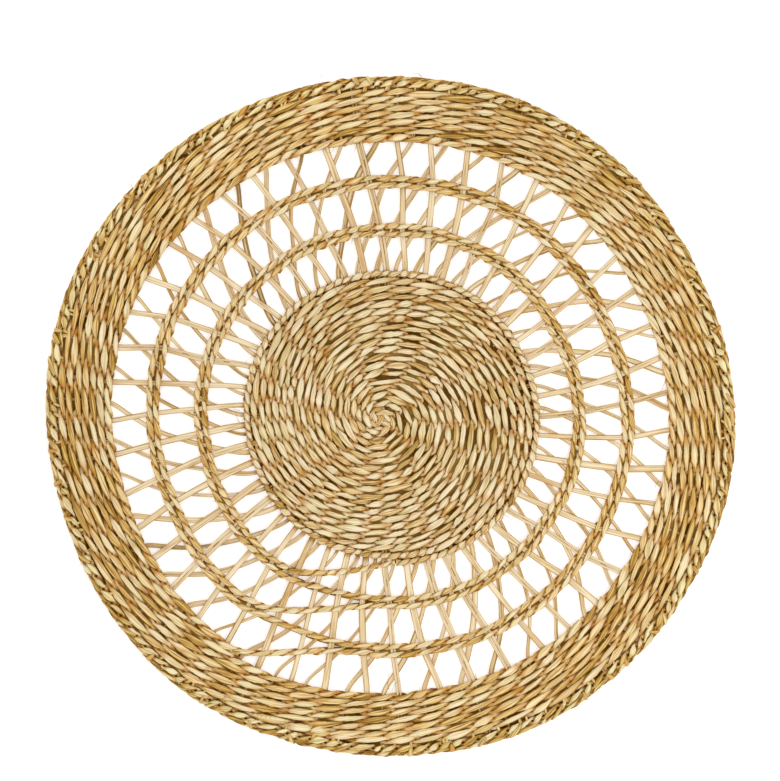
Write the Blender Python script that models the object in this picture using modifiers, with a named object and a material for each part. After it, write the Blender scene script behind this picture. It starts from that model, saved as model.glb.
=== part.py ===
"""Round openwork placemat, twined from split straw strips and lying flat.

A close centre disc, an open lattice of crossed strips held by two double rows
of twining, a close outer band and a plaited border. The twining weft is one
cord that leaves the disc, circles the lattice and climbs from ring to ring.
All sizes are in metres, +Z is up and the mat lies on the plane z = 0.
"""

import math
import random
from typing import NamedTuple

import bmesh
import bpy
from mathutils import Matrix

# Driving dimensions
MAT_RADIUS = 0.190
BORDER_WIDTH = 0.0070
BORDER_HEIGHT = 0.0060
BAND_WIDTH = 0.0290
DISC_RADIUS = 0.0824
ROW_PITCH = 0.0042
ROW_GROOVE = 0.0009
STRIP_LAYER = 0.0022
DISC_HEIGHT = 0.0044
BAND_HEIGHT = 0.0050
SEAM_GAP = 0.0003

# Twined rings: the radius of each ring's inner row
INNER_RING_RADIUS = 0.1022
OUTER_RING_RADIUS = 0.1290
CORD_DIAMETER = 0.0040

# Strips of the lattice
STRIP_PAIRS = 47
UPPER_STRIP_WIDTH = 0.0031
LOWER_STRIP_WIDTH = 0.0022
UPPER_STRIP_DRIFT = math.radians(4.4)
STRIP_UNEVENNESS = 0.09

# Ridges that stand for the close rows, one a row
DISC_RIDGES = 20
BAND_RIDGES = 7
BORDER_LUMPS = 94
BORDER_WAIST = 0.80

# How finely the round shapes are drawn
TURNED_STEPS = 36
CORD_STEP = math.radians(10.0)
MERGE_DISTANCE = 0.00001
FLAT_ANGLE = math.radians(0.1)
SHARP_ANGLE = math.radians(40.0)

# Sector in which the weft climbs from one ring to the next
CLIMB_START = math.radians(272.0)
CLIMB_END = math.radians(230.0)
BAND_LANDING = math.radians(238.0)

# How far the cord reaches into the disc and the band, and how far the gaps
# stay from the rows beside them
OVERLAP = 0.0018
GAP_MARGIN = 0.0008

BORDER_CENTRE_RADIUS = MAT_RADIUS - BORDER_WIDTH / 2
BAND_OUTER_RADIUS = MAT_RADIUS - BORDER_WIDTH - SEAM_GAP
BAND_INNER_RADIUS = BAND_OUTER_RADIUS - BAND_WIDTH
PAIR_ANGLE = math.tau / STRIP_PAIRS


class Wave(NamedTuple):
    """One ripple of the hand-made outline."""

    ripples: int
    height: float
    turn_degrees: float


OUTLINE_WAVES = (
    Wave(ripples=2, height=0.00125, turn_degrees=319.0),
    Wave(ripples=4, height=0.00079, turn_degrees=240.0),
    Wave(ripples=5, height=0.00027, turn_degrees=35.0),
    Wave(ripples=6, height=0.00050, turn_degrees=321.0),
)


class Annulus(NamedTuple):
    """One open zone of the lattice and the small gaps that are cut in it."""

    inner_radius: float
    outer_radius: float
    cut_inner_gaps: bool
    cut_outer_gaps: bool


ANNULI = (
    Annulus(
        inner_radius=DISC_RADIUS,
        outer_radius=INNER_RING_RADIUS - CORD_DIAMETER / 2,
        cut_inner_gaps=False,
        cut_outer_gaps=False,
    ),
    Annulus(
        inner_radius=INNER_RING_RADIUS + ROW_PITCH + CORD_DIAMETER / 2,
        outer_radius=OUTER_RING_RADIUS - CORD_DIAMETER / 2,
        cut_inner_gaps=False,
        cut_outer_gaps=False,
    ),
    Annulus(
        inner_radius=OUTER_RING_RADIUS + ROW_PITCH + CORD_DIAMETER / 2,
        outer_radius=BAND_INNER_RADIUS,
        cut_inner_gaps=False,
        cut_outer_gaps=True,
    ),
)

# Where the strips change their direction: the disc, the middle of each ring, the band
STRIP_KNOTS = (
    DISC_RADIUS,
    INNER_RING_RADIUS + ROW_PITCH / 2,
    OUTER_RING_RADIUS + ROW_PITCH / 2,
    BAND_INNER_RADIUS,
)


def clear_scene():
    """Remove every object that the file starts with."""
    for item in list(bpy.data.objects):
        bpy.data.objects.remove(item, do_unlink=True)


def make_collection(name):
    """Return a new collection linked to the scene."""
    collection = bpy.data.collections.new(name)
    bpy.context.scene.collection.children.link(collection)
    return collection


def make_material(name, colour, roughness):
    """Return a plain straw material."""
    material = bpy.data.materials.new(name)
    material.use_nodes = True
    shader = material.node_tree.nodes["Principled BSDF"]
    shader.inputs["Base Color"].default_value = (*colour, 1.0)
    shader.inputs["Roughness"].default_value = roughness
    shader.inputs["Metallic"].default_value = 0.0
    material.diffuse_color = (*colour, 1.0)
    return material


def polar(radius, angle, height=0.0):
    """Return the point at a radius and angle around the mat's centre."""
    return (radius * math.cos(angle), radius * math.sin(angle), height)


def ridged_rows(inner, outer, ridges, top, groove):
    """Return profile points for rows of twining between two radii."""
    pitch = (outer - inner) / ridges
    points = [(inner, top - groove)]
    for row in range(ridges):
        points.append((inner + (row + 0.5) * pitch, top))
        points.append((inner + (row + 1.0) * pitch, top - groove))
    return points


def join_flat_faces(target):
    """Merge neighbouring faces that lie in one plane."""
    dissolve = target.modifiers.new("Join flat faces", "DECIMATE")
    dissolve.decimate_type = "DISSOLVE"
    dissolve.angle_limit = FLAT_ANGLE


def make_turned(name, profile, collection):
    """Turn a profile of (radius, height) points around the Z axis."""
    mesh = bpy.data.meshes.new(name)
    points = [(radius, 0.0, height) for radius, height in profile]
    edges = [(i, i + 1) for i in range(len(points) - 1)]
    mesh.from_pydata(points, edges, [])
    turned = bpy.data.objects.new(name, mesh)
    collection.objects.link(turned)
    screw = turned.modifiers.new("Turn", "SCREW")
    screw.steps = TURNED_STEPS
    screw.render_steps = TURNED_STEPS
    screw.use_merge_vertices = True
    screw.merge_threshold = MERGE_DISTANCE
    join_flat_faces(turned)
    return turned


def curve_to_mesh_object(curve_object, collection):
    """Replace a curve object with a closed mesh object of the same shape."""
    graph = bpy.context.evaluated_depsgraph_get()
    mesh = bpy.data.meshes.new_from_object(curve_object.evaluated_get(graph))
    cage = bmesh.new()
    cage.from_mesh(mesh)
    bmesh.ops.remove_doubles(cage, verts=cage.verts, dist=MERGE_DISTANCE)
    bmesh.ops.recalc_face_normals(cage, faces=cage.faces)
    cage.to_mesh(mesh)
    cage.free()
    solid = bpy.data.objects.new(curve_object.name + "_solid", mesh)
    solid.matrix_world = curve_object.matrix_world
    collection.objects.link(solid)
    bpy.data.objects.remove(curve_object, do_unlink=True)
    return solid


def add_poly_spline(curve, points, cyclic, thickness=None):
    """Add a straight-sided spline, with a thickness factor for each point."""
    spline = curve.splines.new("POLY")
    spline.points.add(len(points) - 1)
    for index, (x, y, z) in enumerate(points):
        spline.points[index].co = (x, y, z, 1.0)
        if thickness:
            spline.points[index].radius = thickness[index]
    spline.use_cyclic_u = cyclic


def hide_as_cutter(cutter):
    """Mark an object as one that only cuts or joins another."""
    cutter.hide_render = True
    cutter.display_type = "WIRE"


def crossing(start_a, end_a, start_b, end_b):
    """Return the point where two straight lines in the plane meet."""
    ax, ay = end_a[0] - start_a[0], end_a[1] - start_a[1]
    bx, by = end_b[0] - start_b[0], end_b[1] - start_b[1]
    across = ax * by - ay * bx
    along = ((start_b[0] - start_a[0]) * by - (start_b[1] - start_a[1]) * bx) / across
    return (start_a[0] + along * ax, start_a[1] + along * ay, 0.0)


def narrowed(corners, insets):
    """Move each side of a convex gap inward and return the new corners.

    Side i runs from corner i to the next one and moves by insets[i].
    """
    count = len(corners)
    middle_x = sum(corner[0] for corner in corners) / count
    middle_y = sum(corner[1] for corner in corners) / count
    sides = []
    for index, inset in enumerate(insets):
        x0, y0, _ = corners[index]
        x1, y1, _ = corners[(index + 1) % count]
        length = math.hypot(x1 - x0, y1 - y0)
        step_x = -(y1 - y0) / length * inset
        step_y = (x1 - x0) / length * inset
        inward = step_x * (middle_x - x0) + step_y * (middle_y - y0)
        if inward < 0:
            step_x, step_y = -step_x, -step_y
        sides.append(((x0 + step_x, y0 + step_y), (x1 + step_x, y1 + step_y)))
    return [crossing(*sides[i - 1], *sides[i]) for i in range(count)]


def strip_angles():
    """Return where the upper and lower strips pass each knot of the lattice.

    Both lists have a row for the disc's edge, each ring and the band's edge.
    A lower strip lies midway between two upper ones, and each is placed by
    hand, so both stray a little.
    """
    stray = random.Random(11)
    bounds = len(STRIP_KNOTS)
    upper = []
    lower = []
    for bound in range(bounds):
        drift = UPPER_STRIP_DRIFT * bound / (bounds - 1)
        row = [
            pair * PAIR_ANGLE + drift + stray.uniform(-1, 1) * STRIP_UNEVENNESS * PAIR_ANGLE
            for pair in range(STRIP_PAIRS)
        ]
        upper.append(row)
        between = []
        for pair in range(STRIP_PAIRS):
            following = row[(pair + 1) % STRIP_PAIRS]
            if pair == STRIP_PAIRS - 1:
                following += math.tau
            middle = (row[pair] + following) / 2
            between.append(middle + stray.uniform(-1, 1) * STRIP_UNEVENNESS * PAIR_ANGLE)
        lower.append(between)
    return upper, lower


def strip_ends(annulus, bound, start_angle, end_angle):
    """Return where a strip between two knots enters and leaves an open zone."""
    end_angle -= math.tau * round((end_angle - start_angle) / math.tau)
    reach = STRIP_KNOTS[bound + 1] - STRIP_KNOTS[bound]
    ends = []
    for radius in (annulus.inner_radius, annulus.outer_radius):
        share = (radius - STRIP_KNOTS[bound]) / reach
        ends.append(polar(radius, start_angle + (end_angle - start_angle) * share))
    return ends


def gaps_of_cell(annulus, bound, pair, upper, lower):
    """Return the outlines of the gaps between two neighbouring upper strips.

    Each lower strip starts in one cell at the inner knot, crosses under one
    upper strip and ends in the cell before it at the outer knot.
    """
    following = (pair + 1) % STRIP_PAIRS
    here, after = (upper[bound], lower[bound]), (upper[bound + 1], lower[bound + 1])
    near_in, near_out = strip_ends(annulus, bound, here[0][pair], after[0][pair])
    far_in, far_out = strip_ends(annulus, bound, here[0][following], after[0][following])
    leaving, leaving_end = strip_ends(annulus, bound, here[1][pair], after[1][pair - 1])
    arriving_start, arriving = strip_ends(annulus, bound, here[1][following], after[1][pair])
    near_cross = crossing(near_in, near_out, leaving, leaving_end)
    far_cross = crossing(far_in, far_out, arriving_start, arriving)

    half_upper = UPPER_STRIP_WIDTH / 2
    half_lower = LOWER_STRIP_WIDTH / 2
    edge = GAP_MARGIN
    gaps = [
        narrowed(
            [leaving, far_in, far_cross, arriving, near_out, near_cross],
            [edge, half_upper, half_lower, edge, half_upper, half_lower],
        )
    ]
    if annulus.cut_inner_gaps:
        gaps.append(narrowed([near_in, leaving, near_cross], [edge, half_lower, half_upper]))
    if annulus.cut_outer_gaps:
        gaps.append(narrowed([arriving, far_out, far_cross], [edge, half_upper, half_lower]))
    return gaps


def make_gap_cutter(collection):
    """Return one cutter with a prism for each open gap of the lattice."""
    upper, lower = strip_angles()
    curve = bpy.data.curves.new("lattice_gaps", "CURVE")
    curve.dimensions = "2D"
    curve.fill_mode = "BOTH"
    curve.extrude = STRIP_LAYER
    for bound, annulus in enumerate(ANNULI):
        for pair in range(STRIP_PAIRS):
            for gap in gaps_of_cell(annulus, bound, pair, upper, lower):
                add_poly_spline(curve, gap, cyclic=True)
    outline = bpy.data.objects.new("lattice_gaps", curve)
    outline.location.z = STRIP_LAYER / 2
    collection.objects.link(outline)
    bpy.context.view_layer.update()
    cutter = curve_to_mesh_object(outline, collection)
    hide_as_cutter(cutter)
    return cutter


def eased(share):
    """Return a share from 0 to 1 with a soft start and end."""
    return share * share * (3.0 - 2.0 * share)


def weft_path():
    """Return the route of the weft cord from the disc to the band.

    It runs clockwise. Each leg is a climb, a lower row, a step up beside the
    incoming climb, and an upper row.
    """
    sector = CLIMB_START - CLIMB_END
    round_trip = math.tau - sector
    inner_upper = INNER_RING_RADIUS + ROW_PITCH
    outer_upper = OUTER_RING_RADIUS + ROW_PITCH
    legs = [
        (sector, INNER_RING_RADIUS),
        (round_trip, INNER_RING_RADIUS),
        (sector, inner_upper),
        (round_trip, inner_upper),
        (sector, OUTER_RING_RADIUS),
        (round_trip, OUTER_RING_RADIUS),
        (sector, outer_upper),
        (round_trip, outer_upper),
        (CLIMB_START - BAND_LANDING, BAND_INNER_RADIUS + OVERLAP),
    ]
    angle = CLIMB_START
    radius = DISC_RADIUS - OVERLAP
    height = DISC_HEIGHT - CORD_DIAMETER / 2 - SEAM_GAP
    points = [polar(radius, angle, height)]
    for sweep, end_radius in legs:
        steps = max(1, round(sweep / CORD_STEP))
        for step in range(1, steps + 1):
            share = step / steps
            here = radius + (end_radius - radius) * eased(share)
            points.append(polar(here, angle - sweep * share, height))
        angle -= sweep
        radius = end_radius
    return points


def make_weft_cord(collection):
    """Return the weft cord that joins the disc, both rings and the band."""
    curve = bpy.data.curves.new("weft_cord", "CURVE")
    curve.dimensions = "3D"
    curve.bevel_depth = CORD_DIAMETER / 2
    curve.bevel_resolution = 1
    curve.use_fill_caps = True
    add_poly_spline(curve, weft_path(), cyclic=False)
    cord = bpy.data.objects.new("weft_cord", curve)
    collection.objects.link(cord)
    bpy.context.view_layer.update()
    solid = curve_to_mesh_object(cord, collection)
    hide_as_cutter(solid)
    return solid


def mat_profile():
    """Return the mat's half section, from the centre's top to its underside."""
    disc_rows = ridged_rows(0.0, DISC_RADIUS, DISC_RIDGES, DISC_HEIGHT, ROW_GROOVE)
    band_rows = ridged_rows(
        BAND_INNER_RADIUS, BAND_OUTER_RADIUS, BAND_RIDGES, BAND_HEIGHT, ROW_GROOVE
    )
    lattice = [(DISC_RADIUS, STRIP_LAYER), (BAND_INNER_RADIUS, STRIP_LAYER)]
    underside = [(BAND_OUTER_RADIUS, 0.0), (0.0, 0.0)]
    return disc_rows + lattice + band_rows + underside


def add_boolean(target, other, operation):
    """Cut or join another closed mesh with an exact Boolean."""
    boolean = target.modifiers.new(operation.title(), "BOOLEAN")
    boolean.operation = operation
    boolean.solver = "EXACT"
    boolean.object = other


def outline_scale(angle):
    """Return how much wider or narrower the mat is at an angle."""
    stray = sum(
        wave.height * math.cos(wave.ripples * angle - math.radians(wave.turn_degrees))
        for wave in OUTLINE_WAVES
    )
    return 1.0 + stray / MAT_RADIUS


def apply_hand_made_outline(target):
    """Bake an object's modifiers and give it the mat's uneven outline."""
    bpy.context.view_layer.update()
    graph = bpy.context.evaluated_depsgraph_get()
    mesh = bpy.data.meshes.new_from_object(target.evaluated_get(graph))
    mesh.transform(target.matrix_world)
    target.matrix_world = Matrix.Identity(4)
    for vertex in mesh.vertices:
        scale = outline_scale(math.atan2(vertex.co.y, vertex.co.x))
        vertex.co.x *= scale
        vertex.co.y *= scale
    target.modifiers.clear()
    target.data = mesh


def finish_piece(piece, material):
    """Give a finished piece its material and soft shading."""
    piece.data.materials.clear()
    piece.data.materials.append(material)
    piece.data.shade_smooth()
    piece.data.set_sharp_from_angle(angle=SHARP_ANGLE)


def make_woven_mat(collection, cutters):
    """Build the disc, lattice, rings and band as one woven piece."""
    mat = make_turned("woven_mat", mat_profile(), collection)
    add_boolean(mat, make_gap_cutter(cutters), "DIFFERENCE")
    add_boolean(mat, make_weft_cord(cutters), "UNION")
    join_flat_faces(mat)
    apply_hand_made_outline(mat)
    finish_piece(mat, make_material("straw_weave", (0.70, 0.52, 0.28), 0.62))
    return mat


def make_plaited_border(collection):
    """Build the plaited border, a lumpy ring of folded strip ends."""
    lump_angle = math.tau / BORDER_LUMPS
    points = []
    thickness = []
    for lump in range(BORDER_LUMPS):
        for share, fullness in ((0.0, 1.0), (0.5, BORDER_WAIST)):
            points.append(polar(BORDER_CENTRE_RADIUS, (lump + share) * lump_angle))
            thickness.append(fullness)
    curve = bpy.data.curves.new("plaited_border", "CURVE")
    curve.dimensions = "3D"
    curve.bevel_depth = BORDER_WIDTH / 2
    curve.bevel_resolution = 1
    add_poly_spline(curve, points, cyclic=True, thickness=thickness)
    ring = bpy.data.objects.new("plaited_border", curve)
    collection.objects.link(ring)
    flat_to_flat = BORDER_WIDTH * math.cos(math.pi / 6)
    ring.scale.z = BORDER_HEIGHT / flat_to_flat
    ring.location.z = BORDER_HEIGHT / 2
    bpy.context.view_layer.update()
    border = curve_to_mesh_object(ring, collection)
    border.name = "plaited_border"
    apply_hand_made_outline(border)
    finish_piece(border, make_material("straw_plait", (0.58, 0.38, 0.15), 0.58))
    return border


def main():
    """Build the whole mat."""
    clear_scene()
    collection = make_collection("openwork_placemat")
    cutters = make_collection("cutters")
    make_woven_mat(collection, cutters)
    make_plaited_border(collection)


main()
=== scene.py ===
"""Round openwork placemat of twined straw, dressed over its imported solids.

A close centre disc, an open lattice of crossed straw strips, two twined rings,
a close outer band and a folded border. All sizes are in metres, +Z is up, the
mat lies on z = 0 and its weft runs clockwise as seen from above.
"""

import logging
import math
import random
from dataclasses import dataclass, replace
from enum import Enum
from math import pi, radians, tau

import bpy
import numpy as np
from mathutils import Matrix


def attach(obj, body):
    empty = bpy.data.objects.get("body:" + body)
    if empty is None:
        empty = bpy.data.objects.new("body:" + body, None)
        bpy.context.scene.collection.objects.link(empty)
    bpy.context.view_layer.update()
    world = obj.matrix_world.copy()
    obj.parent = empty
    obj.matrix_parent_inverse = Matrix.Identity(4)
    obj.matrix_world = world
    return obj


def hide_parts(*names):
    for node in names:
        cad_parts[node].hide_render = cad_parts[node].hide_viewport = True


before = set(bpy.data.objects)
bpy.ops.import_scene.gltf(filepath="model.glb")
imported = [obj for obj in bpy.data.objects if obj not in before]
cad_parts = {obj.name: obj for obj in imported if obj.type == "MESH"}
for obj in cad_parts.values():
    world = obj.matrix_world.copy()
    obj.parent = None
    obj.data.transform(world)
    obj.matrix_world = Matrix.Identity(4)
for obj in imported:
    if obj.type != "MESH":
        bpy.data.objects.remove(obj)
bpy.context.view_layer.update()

LOG = logging.getLogger("placemat")
ROOT_BODY = "root"
MAT = ("woven_mat", "straw_weave")
BORDER = ("plaited_border", "straw_plait")
GRAIN_LAYER = "straw_grain"
GRAIN_STARTS = (0, 50)
UP = np.array([0.0, 0.0, 1.0])
Colour = tuple[float, float, float]
Range = tuple[float, float]
Array = np.ndarray
Along = float | Array
Socket = bpy.types.NodeSocket
Given = float | tuple[float, ...] | Socket


class Surface(Enum):
    """Numeric traits that every straw carries along its length, its painted shade among them."""

    TONE = "tone"
    AMBER = "amber"
    # Painted shade: darkening where a straw dips under, at its edges and where the weave lies deep.
    PAINTED_SHADE = "tuck"


@dataclass(frozen=True)
class Wave:
    """One ripple of the hand-made outline."""

    ripples: int
    height: float
    turn: float


@dataclass(frozen=True)
class MatPlan:
    """The mat's own radii, layers and outline, the same as in its solids."""

    mat_radius: float = 0.190
    disc_radius: float = 0.0824
    band_inner: float = 0.1537
    inner_ring: float = 0.1022
    outer_ring: float = 0.1290
    row_pitch: float = 0.0042
    strip_pairs: int = 47
    drift: float = radians(4.4)
    unevenness: float = 0.09
    lattice_seed: int = 11
    climb_start: float = radians(272.0)
    climb_end: float = radians(230.0)
    band_landing: float = radians(238.0)
    middle_height: float = 0.0022
    eye: tuple[float, float] = (-0.0055, -0.0023)
    eye_pull: float = 1.3
    waves: tuple[Wave, ...] = (
        Wave(2, 0.00125, radians(319.0)),
        Wave(4, 0.00079, radians(240.0)),
        Wave(5, 0.00027, radians(35.0)),
        Wave(6, 0.00050, radians(321.0)),
    )

    @property
    def pair_angle(self) -> float:
        """Angle between two neighbouring upper strips."""
        return tau / self.strip_pairs

    @property
    def ring_middles(self) -> Array:
        """Radii of the middles of both double rings."""
        return np.array([self.inner_ring, self.outer_ring]) + self.row_pitch / 2

    @property
    def knots(self) -> tuple[float, ...]:
        """Radii at which a strip changes its direction."""
        return (self.disc_radius, *self.ring_middles, self.band_inner)

    def place(self, angle: Along, radius: Along) -> Array:
        """Points on the mat, with its off-centre eye and its uneven outline.

        Args:
            angle: Directions in radians.
            radius: Distances before the outline's ripples.

        Returns:
            An array of (x, y) rows.
        """
        pull = np.clip(1.0 - radius / self.disc_radius, 0.0, 1.0) ** self.eye_pull
        x = radius * np.cos(angle) + self.eye[0] * pull
        y = radius * np.sin(angle) + self.eye[1] * pull
        turn = np.arctan2(y, x)
        waves = (wave.height * np.cos(wave.ripples * turn - wave.turn) for wave in self.waves)
        return np.stack([x, y], axis=-1) * (1.0 + sum(waves) / self.mat_radius)[..., None]


def eased(share: Array) -> Array:
    """A share from 0 to 1 with a soft start and end."""
    share = np.clip(share, 0.0, 1.0)
    return share * share * (3.0 - 2.0 * share)


def unit(vectors: Array) -> Array:
    """Rows of an array brought to length one."""
    return vectors / np.maximum(np.linalg.norm(vectors, axis=1, keepdims=True), 1e-12)


def raised(flat: Array, height: Along) -> Array:
    """A flat line's points at their heights."""
    return np.column_stack([flat, np.broadcast_to(height, len(flat))])


def faced(centre: Array, facing: Array) -> tuple[Array, Array]:
    """How a straw lies that turns its face to one side.

    Args:
        centre: The straw's centreline.
        facing: Where its face looks, for the whole straw or at each sample.

    Returns:
        The directions across it and its normals.
    """
    tangent = unit(np.gradient(centre, axis=0))
    across = unit(np.cross(tangent, facing))
    return across, np.cross(across, tangent)


def linked(name: str, data: bpy.types.ID) -> bpy.types.Object:
    """Put a mesh, a lens or a lamp into the scene.

    Args:
        name: The object's name.
        data: What the object shows.

    Returns:
        The new object.
    """
    made = bpy.data.objects.new(name, data)
    bpy.context.scene.collection.objects.link(made)
    return made


@dataclass
class StrawLine:
    """One straw: its centreline, how it faces, its section, its colours and its painted shade."""

    centre: Array
    across: Array
    normal: Array
    half_width: Along
    half_thickness: Along
    tone: Along
    cup: Along = 0.0
    amber: Along = 0.0
    # Painted shade: an amount laid on evenly, one on faces turned inwards as the strand dips under, and a
    # wedge of painted shadow between stitches.
    tuck: Along = 0.0
    crease: Along = 1.0
    inward: Along = 0.0
    wedge: Along = 0.0
    grain_start: float = 0.0
    packed: bool = False

    def column(self, value: Along) -> Array:
        """A value at each sample, as a column."""
        return np.broadcast_to(value, len(self.centre))[:, None]


class StrawMesh:
    """Gathers straws, each a closed flat tube, into one mesh object."""

    SECTION = np.array(
        [(-1.0, 0.0), (-0.86, 0.62), (-0.56, 0.96), (0.56, 0.96), (0.86, 0.62)]
        + [(1.0, 0.0), (0.86, -0.62), (0.56, -0.96), (-0.56, -0.96), (-0.86, -0.62)]
    )
    SIDES = len(SECTION)
    CAP = np.array([(0, 1, 8, 9), (1, 2, 7, 8), (2, 3, 6, 7), (3, 4, 5, 6)])
    GRAIN_LENGTH = 0.012
    # Strengths of the painted shade at straw edges and on faces turned inwards.
    EDGE_SHADE = 1.20
    EDGE_SHARPNESS = 7.0
    INNER_SHADE = 1.25
    INNER_START = 0.24

    def __init__(self) -> None:
        """Start with no straws."""
        self.points: list[Array] = []
        self.faces: list[Array] = []
        self.packed: list[Array] = []
        self.grain: list[Array] = []
        self.traits: dict[Surface, list[Array]] = {trait: [] for trait in Surface}
        self.count = 0

    def add(self, line: StrawLine) -> None:
        """Add one straw.

        Args:
            line: The straw's centreline, section and colours.
        """
        sides, rings = self.SIDES, len(line.centre)
        x, y = self.SECTION.T
        sideways = x * line.column(line.half_width)
        upward = y * line.crease * line.column(line.half_thickness) - line.column(line.cup) * x**2
        across, normal = (np.broadcast_to(way, (rings, 3)) for way in (line.across, line.normal))
        points = (
            line.centre[:, None, :]
            + across[:, None, :] * sideways[:, :, None]
            + normal[:, None, :] * upward[:, :, None]
        )
        ring = np.arange(rings - 1)[:, None] * sides
        here = np.arange(sides)[None, :]
        after = (here + 1) % sides
        corners = (ring + here, ring + sides + here, ring + sides + after, ring + after)
        walls = np.stack(corners, axis=-1).reshape(-1, 4)
        faces = np.concatenate([walls, self.CAP, self.CAP[:, ::-1] + (rings - 1) * sides])
        self.faces.append(faces + self.count)
        self.packed.append(np.full(len(faces), int(line.packed)))
        self.points.append(points.reshape(-1, 3))
        self.count += rings * sides
        steps = np.linalg.norm(np.diff(line.centre, axis=0), axis=1)
        along = np.concatenate([[0.0], np.cumsum(steps)]) / self.GRAIN_LENGTH + line.grain_start
        self.grain.append(np.stack([np.repeat(along, sides), np.tile((x + 1.0) / 2.0, rings)], axis=1))
        # Painted shade: darker towards the straw's edges, on faces turned inwards where a strand dips
        # under, and in a wedge of painted shadow between stitches.
        shade = line.column(line.tuck) + self.EDGE_SHADE * np.abs(x) ** self.EDGE_SHARPNESS
        facing_in = -y * line.column(line.inward)
        shade = shade + np.clip(self.INNER_SHADE * facing_in - self.INNER_START, 0, 1)
        shade = shade + np.clip(line.column(line.wedge) * x, 0, 1)
        for trait, value in (
            (Surface.TONE, line.column(line.tone)),
            (Surface.AMBER, line.column(line.amber)),
            (Surface.PAINTED_SHADE, np.clip(shade, 0, 1)),
        ):
            self.traits[trait].append(np.broadcast_to(value, (rings, sides)).ravel())

    def to_object(self, name: str, *materials: bpy.types.Material) -> bpy.types.Object:
        """Turn the gathered straws into an object.

        Args:
            name: The piece's name.
            materials: What its straws are dressed in, then the dark shadowed straw for its painted shade.

        Returns:
            The new mesh object.
        """
        points = np.concatenate(self.points)
        faces = np.concatenate(self.faces)
        grain = np.concatenate(self.grain)
        mesh = bpy.data.meshes.new(name)
        mesh.vertices.add(len(points))
        mesh.vertices.foreach_set("co", points.astype(np.float32).ravel())
        mesh.loops.add(faces.size)
        mesh.loops.foreach_set("vertex_index", faces.astype(np.int32).ravel())
        mesh.polygons.add(len(faces))
        mesh.polygons.foreach_set("loop_start", np.arange(0, faces.size, 4, dtype=np.int32))
        mesh.polygons.foreach_set("material_index", np.concatenate(self.packed).astype(np.int32))
        mesh.update(calc_edges=True)
        layer = mesh.uv_layers.new(name=GRAIN_LAYER)
        layer.data.foreach_set("uv", grain[faces.ravel()].astype(np.float32).ravel())
        for trait, values in self.traits.items():
            stored = mesh.attributes.new(name=trait.value, type="FLOAT", domain="POINT")
            stored.data.foreach_set("value", np.concatenate(values).astype(np.float32))
        for material in materials:
            mesh.materials.append(material)
        mesh.shade_smooth()
        mesh.validate()
        return linked(name, mesh)


@dataclass
class StrawWork:
    """Work in straw, with the mesh that takes it and its own random source."""

    plan: MatPlan
    mesh: StrawMesh
    seed: int

    def __post_init__(self) -> None:
        """Start the random source."""
        self.rng = np.random.default_rng(self.seed)

    def lay(self, **look: Along) -> None:
        """Lay one straw, with a straw line's values."""
        self.mesh.add(StrawLine(**look))


class NodeBoard:
    """A node tree with short ways to add its nodes and join them."""

    def __init__(self, tree: bpy.types.NodeTree) -> None:
        """Keep the tree that takes the nodes."""
        self.tree = tree

    def give(self, node: bpy.types.Node, inputs: dict[str | int, Given]) -> None:
        """Join a node's inputs to other nodes' outputs, or set them.

        Args:
            node: The node.
            inputs: A socket or a plain value for each input's name or number.
        """
        for key, value in inputs.items():
            if isinstance(value, Socket):
                self.tree.links.new(value, node.inputs[key])
            else:
                node.inputs[key].default_value = value

    def add(self, kind: str, inputs: dict[str | int, Given], **settings: object) -> bpy.types.Node:
        """Add a node.

        Args:
            kind: The node's kind.
            inputs: A socket or a plain value for each input's name or number.
            settings: The node's own settings.

        Returns:
            The new node.
        """
        node = self.tree.nodes.new(f"ShaderNode{kind}")
        for name, value in settings.items():
            setattr(node, name, value)
        self.give(node, inputs)
        return node

    def maths(self, operation: str, *values: Given) -> Socket:
        """The result of one sum on numbers."""
        return self.add("Math", dict(enumerate(values)), operation=operation).outputs[0]

    def ranged(self, value: Socket, ends: Range, goal: Range = (0.0, 1.0), way: str = "LINEAR") -> Socket:
        """Bring a value from one range to another, evenly or in another way."""
        inputs = dict(zip(("Value", "From Min", "From Max", "To Min", "To Max"), (value, *ends, *goal)))
        return self.add("MapRange", inputs, interpolation_type=way).outputs["Result"]

    def shifted(self, value: Socket, noise: Socket, amount: float) -> Socket:
        """Shift a value up and down by a noise around its middle."""
        return self.maths("ADD", value, self.maths("MULTIPLY_ADD", noise, amount, -0.5 * amount))

    def mixed(self, mask: Socket, colour: Socket, other: Colour, blend: str = "MIX") -> Socket:
        """Blend a colour into another where a mask is 1."""
        inputs = {0: mask, 6: colour, 7: (*other, 1.0)}
        return self.add("Mix", inputs, data_type="RGBA", blend_type=blend).outputs[2]


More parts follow.
